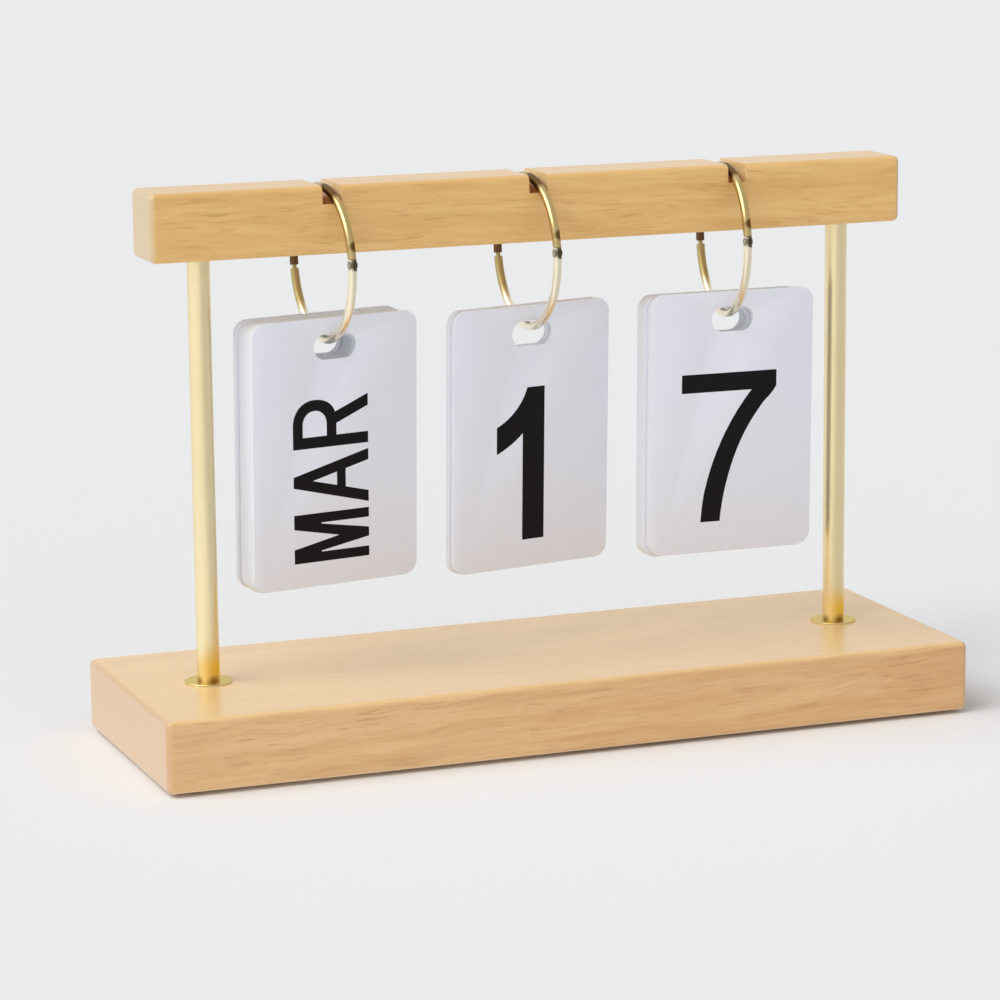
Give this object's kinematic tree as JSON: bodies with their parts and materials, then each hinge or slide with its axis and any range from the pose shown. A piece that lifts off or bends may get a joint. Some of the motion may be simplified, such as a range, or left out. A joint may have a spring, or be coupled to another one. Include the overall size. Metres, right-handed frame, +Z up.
{
  "type": "perpetual desk calendar",
  "caption": "Desk calendar with a wooden base and bar on brass rods, and packs of month, tens and ones cards hung on hinged brass rings.",
  "frame": {"origin": "middle of the footprint, on the surface that the foot pads stand on", "axes": "+X to the right as the calendar is read, -Y towards the reader, +Z up"},
  "size_m": [0.2406, 0.0808, 0.1595],
  "materials": {
    "base_wood": "satin clear oil on a pale hardwood, fine straight grain",
    "bar_wood": "satin clear oil on a pale hardwood, fine straight grain",
    "brass": "polished",
    "felt": "pressed felt",
    "screw_steel": "zinc plated",
    "card_stock": "smooth matt stiff card"
  },
  "bodies": {
    "stand": {"base_board": "base_wood", "foot_pad_front_left": "felt", "foot_pad_front_right": "felt", "foot_pad_back_left": "felt", "foot_pad_back_right": "felt", "rod_left": "brass", "rod_right": "brass", "rod_flange_left": "brass", "rod_flange_right": "brass", "base_screw_left": "screw_steel", "base_screw_right": "screw_steel", "top_bar": "bar_wood"},
    "month_ring": {"month_ring_upper": "brass", "month_ring_rivet": "brass"},
    "month_ring_gate": {"month_ring_lower": "brass"},
    "month_card_mar": {"month_card_mar": "card_stock"},
    "month_card_apr": {"month_card_apr": "card_stock"},
    "month_card_may": {"month_card_may": "card_stock"},
    "month_card_jun": {"month_card_jun": "card_stock"},
    "month_card_jul": {"month_card_jul": "card_stock"},
    "month_card_aug": {"month_card_aug": "card_stock"},
    "month_card_sep": {"month_card_sep": "card_stock"},
    "month_card_oct": {"month_card_oct": "card_stock"},
    "month_card_nov": {"month_card_nov": "card_stock"},
    "month_card_dec": {"month_card_dec": "card_stock"},
    "month_card_jan": {"month_card_jan": "card_stock"},
    "month_card_feb": {"month_card_feb": "card_stock"},
    "tens_ring": {"tens_ring_upper": "brass", "tens_ring_rivet": "brass"},
    "tens_ring_gate": {"tens_ring_lower": "brass"},
    "tens_card_1": {"tens_card_1": "card_stock"},
    "tens_card_2": {"tens_card_2": "card_stock"},
    "tens_card_3": {"tens_card_3": "card_stock"},
    "tens_card_0": {"tens_card_0": "card_stock"},
    "ones_ring": {"ones_ring_upper": "brass", "ones_ring_rivet": "brass"},
    "ones_ring_gate": {"ones_ring_lower": "brass"},
    "ones_card_7": {"ones_card_7": "card_stock"},
    "ones_card_8": {"ones_card_8": "card_stock"},
    "ones_card_9": {"ones_card_9": "card_stock"},
    "ones_card_0": {"ones_card_0": "card_stock"},
    "ones_card_1": {"ones_card_1": "card_stock"},
    "ones_card_2": {"ones_card_2": "card_stock"},
    "ones_card_3": {"ones_card_3": "card_stock"},
    "ones_card_4": {"ones_card_4": "card_stock"},
    "ones_card_5": {"ones_card_5": "card_stock"},
    "ones_card_6": {"ones_card_6": "card_stock"}
  },
  "joints": [
    {"name": "month_ring_turn", "type": "hinge", "parent": "stand", "child": "month_ring", "pos_m": [-0.0607, 0, 0.13705], "axis": [0.9973, 0.0732, 0], "range_deg": [-45, 45]},
    {"name": "month_ring_open", "type": "hinge", "parent": "month_ring", "child": "month_ring_gate", "pos_m": [-0.05915, -0.02111, 0.1389], "axis": [0.9973, 0.0732, 0], "range_deg": [-60, 0]},
    {"name": "month_pack_swing", "type": "hinge", "parent": "month_ring_gate", "child": "month_card_feb", "pos_m": [-0.0607, 0, 0.13705], "axis": [1, 0, 0], "range_deg": [-30, 60]},
    {"name": "month_card_jan_flip", "type": "hinge", "parent": "month_card_feb", "child": "month_card_jan", "pos_m": [-0.0607, 0, 0.13705], "axis": [-1, 0, 0], "range_deg": [0, 3]},
    {"name": "month_card_dec_flip", "type": "hinge", "parent": "month_card_jan", "child": "month_card_dec", "pos_m": [-0.0607, 0, 0.13705], "axis": [-1, 0, 0], "range_deg": [0, 3]},
    {"name": "month_card_nov_flip", "type": "hinge", "parent": "month_card_dec", "child": "month_card_nov", "pos_m": [-0.0607, 0, 0.13705], "axis": [-1, 0, 0], "range_deg": [0, 3]},
    {"name": "month_card_oct_flip", "type": "hinge", "parent": "month_card_nov", "child": "month_card_oct", "pos_m": [-0.0607, 0, 0.13705], "axis": [-1, 0, 0], "range_deg": [0, 3]},
    {"name": "month_card_sep_flip", "type": "hinge", "parent": "month_card_oct", "child": "month_card_sep", "pos_m": [-0.0607, 0, 0.13705], "axis": [-1, 0, 0], "range_deg": [0, 3]},
    {"name": "month_card_aug_flip", "type": "hinge", "parent": "month_card_sep", "child": "month_card_aug", "pos_m": [-0.0607, 0, 0.13705], "axis": [-1, 0, 0], "range_deg": [0, 3]},
    {"name": "month_card_jul_flip", "type": "hinge", "parent": "month_card_aug", "child": "month_card_jul", "pos_m": [-0.0607, 0, 0.13705], "axis": [-1, 0, 0], "range_deg": [0, 3]},
    {"name": "month_card_jun_flip", "type": "hinge", "parent": "month_card_jul", "child": "month_card_jun", "pos_m": [-0.0607, 0, 0.13705], "axis": [-1, 0, 0], "range_deg": [0, 3]},
    {"name": "month_card_may_flip", "type": "hinge", "parent": "month_card_jun", "child": "month_card_may", "pos_m": [-0.0607, 0, 0.13705], "axis": [-1, 0, 0], "range_deg": [0, 3]},
    {"name": "month_card_apr_flip", "type": "hinge", "parent": "month_card_may", "child": "month_card_apr", "pos_m": [-0.0607, 0, 0.13705], "axis": [-1, 0, 0], "range_deg": [0, 3]},
    {"name": "month_card_mar_flip", "type": "hinge", "parent": "month_card_apr", "child": "month_card_mar", "pos_m": [-0.0607, 0, 0.13705], "axis": [-1, 0, 0], "range_deg": [0, 80]},
    {"name": "tens_ring_turn", "type": "hinge", "parent": "stand", "child": "tens_ring", "pos_m": [0, 0, 0.13705], "axis": [0.9993, 0.0366, 0], "range_deg": [-45, 45]},
    {"name": "tens_ring_open", "type": "hinge", "parent": "tens_ring", "child": "tens_ring_gate", "pos_m": [0.00078, -0.02116, 0.1389], "axis": [0.9993, 0.0366, 0], "range_deg": [-60, 0]},
    {"name": "tens_pack_swing", "type": "hinge", "parent": "tens_ring_gate", "child": "tens_card_0", "pos_m": [0, 0, 0.13705], "axis": [1, 0, 0], "range_deg": [-30, 60]},
    {"name": "tens_card_3_flip", "type": "hinge", "parent": "tens_card_0", "child": "tens_card_3", "pos_m": [0, 0, 0.13705], "axis": [-1, 0, 0], "range_deg": [0, 15]},
    {"name": "tens_card_2_flip", "type": "hinge", "parent": "tens_card_3", "child": "tens_card_2", "pos_m": [0, 0, 0.13705], "axis": [-1, 0, 0], "range_deg": [0, 15]},
    {"name": "tens_card_1_flip", "type": "hinge", "parent": "tens_card_2", "child": "tens_card_1", "pos_m": [0, 0, 0.13705], "axis": [-1, 0, 0], "range_deg": [0, 80]},
    {"name": "ones_ring_turn", "type": "hinge", "parent": "stand", "child": "ones_ring", "pos_m": [0.0607, 0, 0.13705], "axis": [0.9956, -0.0941, 0], "range_deg": [-45, 45]},
    {"name": "ones_ring_open", "type": "hinge", "parent": "ones_ring", "child": "ones_ring_gate", "pos_m": [0.05871, -0.02107, 0.1389], "axis": [0.9956, -0.0941, 0], "range_deg": [-60, 0]},
    {"name": "ones_pack_swing", "type": "hinge", "parent": "ones_ring_gate", "child": "ones_card_6", "pos_m": [0.0607, 0, 0.13705], "axis": [1, 0, 0], "range_deg": [-30, 60]},
    {"name": "ones_card_5_flip", "type": "hinge", "parent": "ones_card_6", "child": "ones_card_5", "pos_m": [0.0607, 0, 0.13705], "axis": [-1, 0, 0], "range_deg": [0, 3.75]},
    {"name": "ones_card_4_flip", "type": "hinge", "parent": "ones_card_5", "child": "ones_card_4", "pos_m": [0.0607, 0, 0.13705], "axis": [-1, 0, 0], "range_deg": [0, 3.75]},
    {"name": "ones_card_3_flip", "type": "hinge", "parent": "ones_card_4", "child": "ones_card_3", "pos_m": [0.0607, 0, 0.13705], "axis": [-1, 0, 0], "range_deg": [0, 3.75]},
    {"name": "ones_card_2_flip", "type": "hinge", "parent": "ones_card_3", "child": "ones_card_2", "pos_m": [0.0607, 0, 0.13705], "axis": [-1, 0, 0], "range_deg": [0, 3.75]},
    {"name": "ones_card_1_flip", "type": "hinge", "parent": "ones_card_2", "child": "ones_card_1", "pos_m": [0.0607, 0, 0.13705], "axis": [-1, 0, 0], "range_deg": [0, 3.75]},
    {"name": "ones_card_0_flip", "type": "hinge", "parent": "ones_card_1", "child": "ones_card_0", "pos_m": [0.0607, 0, 0.13705], "axis": [-1, 0, 0], "range_deg": [0, 3.75]},
    {"name": "ones_card_9_flip", "type": "hinge", "parent": "ones_card_0", "child": "ones_card_9", "pos_m": [0.0607, 0, 0.13705], "axis": [-1, 0, 0], "range_deg": [0, 3.75]},
    {"name": "ones_card_8_flip", "type": "hinge", "parent": "ones_card_9", "child": "ones_card_8", "pos_m": [0.0607, 0, 0.13705], "axis": [-1, 0, 0], "range_deg": [0, 3.75]},
    {"name": "ones_card_7_flip", "type": "hinge", "parent": "ones_card_8", "child": "ones_card_7", "pos_m": [0.0607, 0, 0.13705], "axis": [-1, 0, 0], "range_deg": [0, 80]}
  ]
}
